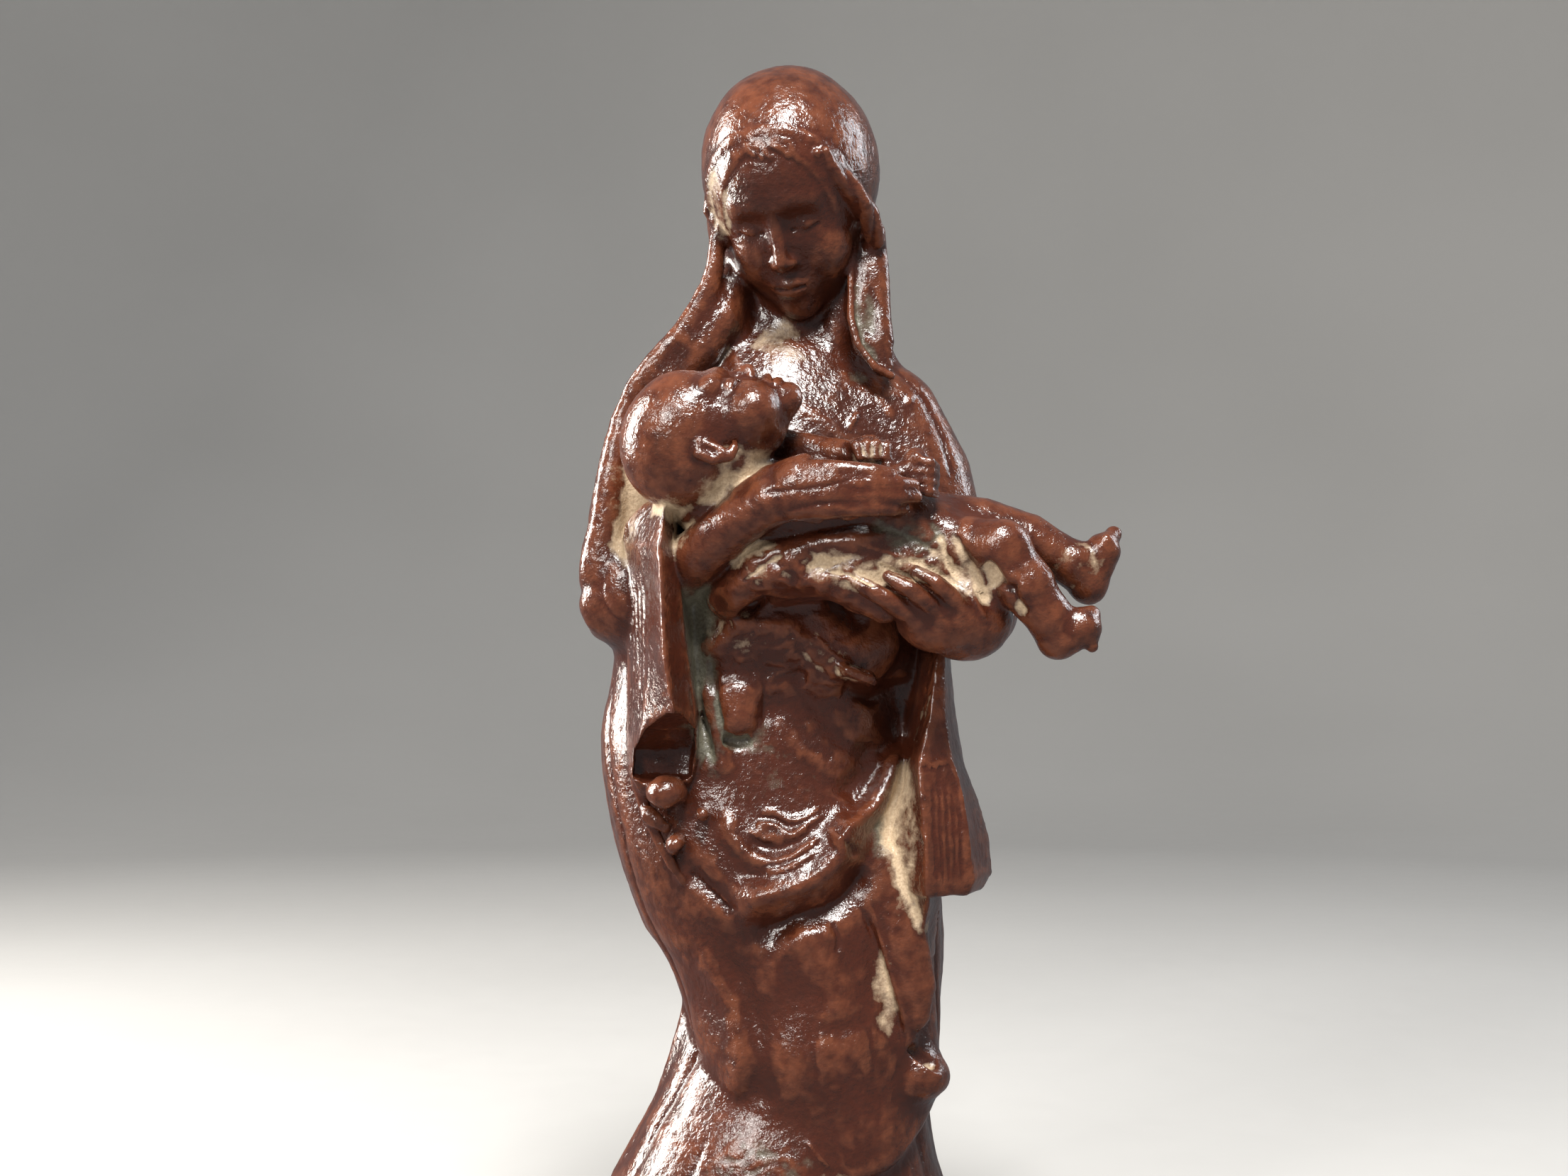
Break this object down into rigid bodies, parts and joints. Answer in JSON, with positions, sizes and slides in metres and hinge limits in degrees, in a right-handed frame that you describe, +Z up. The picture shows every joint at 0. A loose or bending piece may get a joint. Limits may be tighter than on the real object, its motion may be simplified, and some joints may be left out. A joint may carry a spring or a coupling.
{
  "type": "madonna and child statue",
  "caption": "Bronze statuette of a veiled mother who holds an infant across her body, with long hanging folds of cloth, cast in one piece with a low oval base.",
  "frame": {"origin": "middle of the base's underside, on the surface that the statue stands on", "axes": "+Z up along the figure; the figure faces -Y; +X is on the viewer's right, the side of the child's feet"},
  "size_m": [0.2025, 0.1546, 0.4496],
  "materials": {
    "bronze": "cast bronze with a glossy dark red-brown patina, worn bright on the raised places, with pale dust and grey-green residue in the hollows"
  },
  "bodies": {
    "root": {"madonna_and_child": "bronze"}
  },
  "joints": []
}
